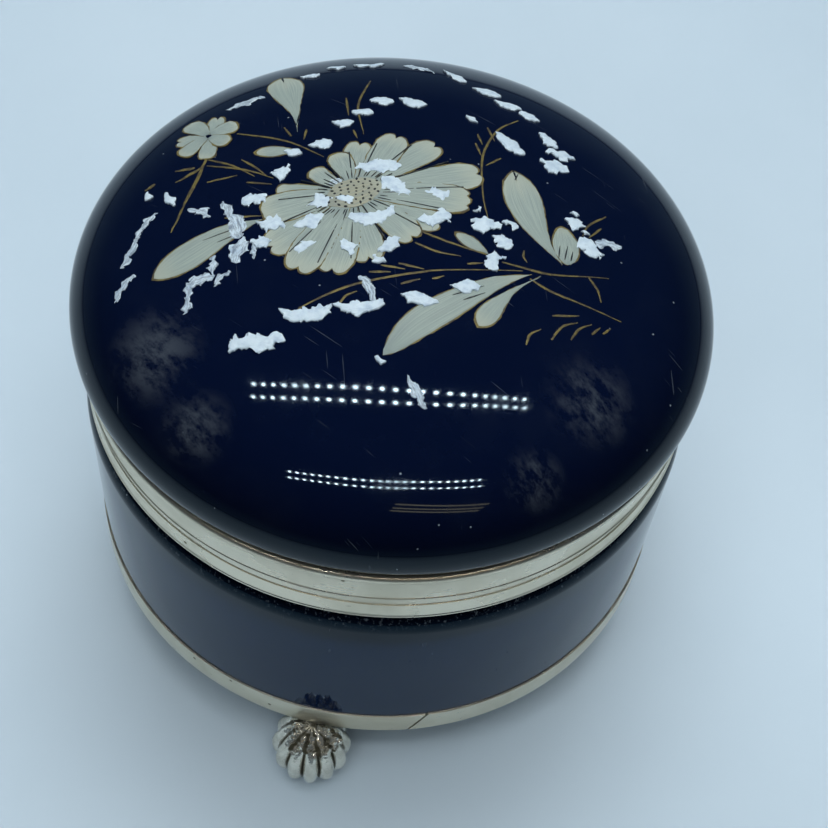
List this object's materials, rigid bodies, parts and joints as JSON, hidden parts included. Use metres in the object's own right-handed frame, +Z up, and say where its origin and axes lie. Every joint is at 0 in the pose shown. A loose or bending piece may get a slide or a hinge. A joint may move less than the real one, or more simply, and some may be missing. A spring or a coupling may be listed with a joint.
{
  "type": "vanity trinket box",
  "caption": "Round hinged vanity box of dark cobalt glass with a domed lid, pale brass mounts and small ribbed ball feet.",
  "frame": {"origin": "on the surface the box stands on, under the middle of the bounding box; the bowl's axis passes through it", "axes": "+Z up along the bowl's axis, +Y towards the hinge at the back, +X to the right of someone facing the front"},
  "size_m": [0.1072, 0.1188, 0.0902],
  "materials": {
    "cobalt_glass": "glossy dark cobalt-blue glass, painted with enamel on the lid",
    "gilt_brass": "pale worn gilt sheet brass, satin bright",
    "cast_gilt": "cast brass with worn silvery gilding, dark in the hollows",
    "hinge_brass": "plain brass, a little duller",
    "plaster": "matt plaster cement"
  },
  "bodies": {
    "base": {"body_glass": "cobalt_glass", "body_rim": "gilt_brass", "body_collar": "gilt_brass", "body_cement": "plaster", "base_band": "gilt_brass", "base_cement": "plaster", "foot_1": "cast_gilt", "foot_2": "cast_gilt", "foot_3": "cast_gilt", "foot_rivet_1": "cast_gilt", "foot_rivet_2": "cast_gilt", "foot_rivet_3": "cast_gilt", "hinge_leaf_body": "hinge_brass", "hinge_pin": "hinge_brass"},
    "lid": {"lid_glass": "cobalt_glass", "lid_rim": "gilt_brass", "lid_bead": "gilt_brass", "lid_collar": "gilt_brass", "lid_cement": "plaster", "hinge_leaf_lid": "hinge_brass"}
  },
  "joints": [
    {"name": "lid_hinge", "type": "hinge", "parent": "base", "child": "lid", "pos_m": [0, 0.0566, 0.0614], "axis": [-1, 0, 0], "range_deg": [0, 100]}
  ]
}
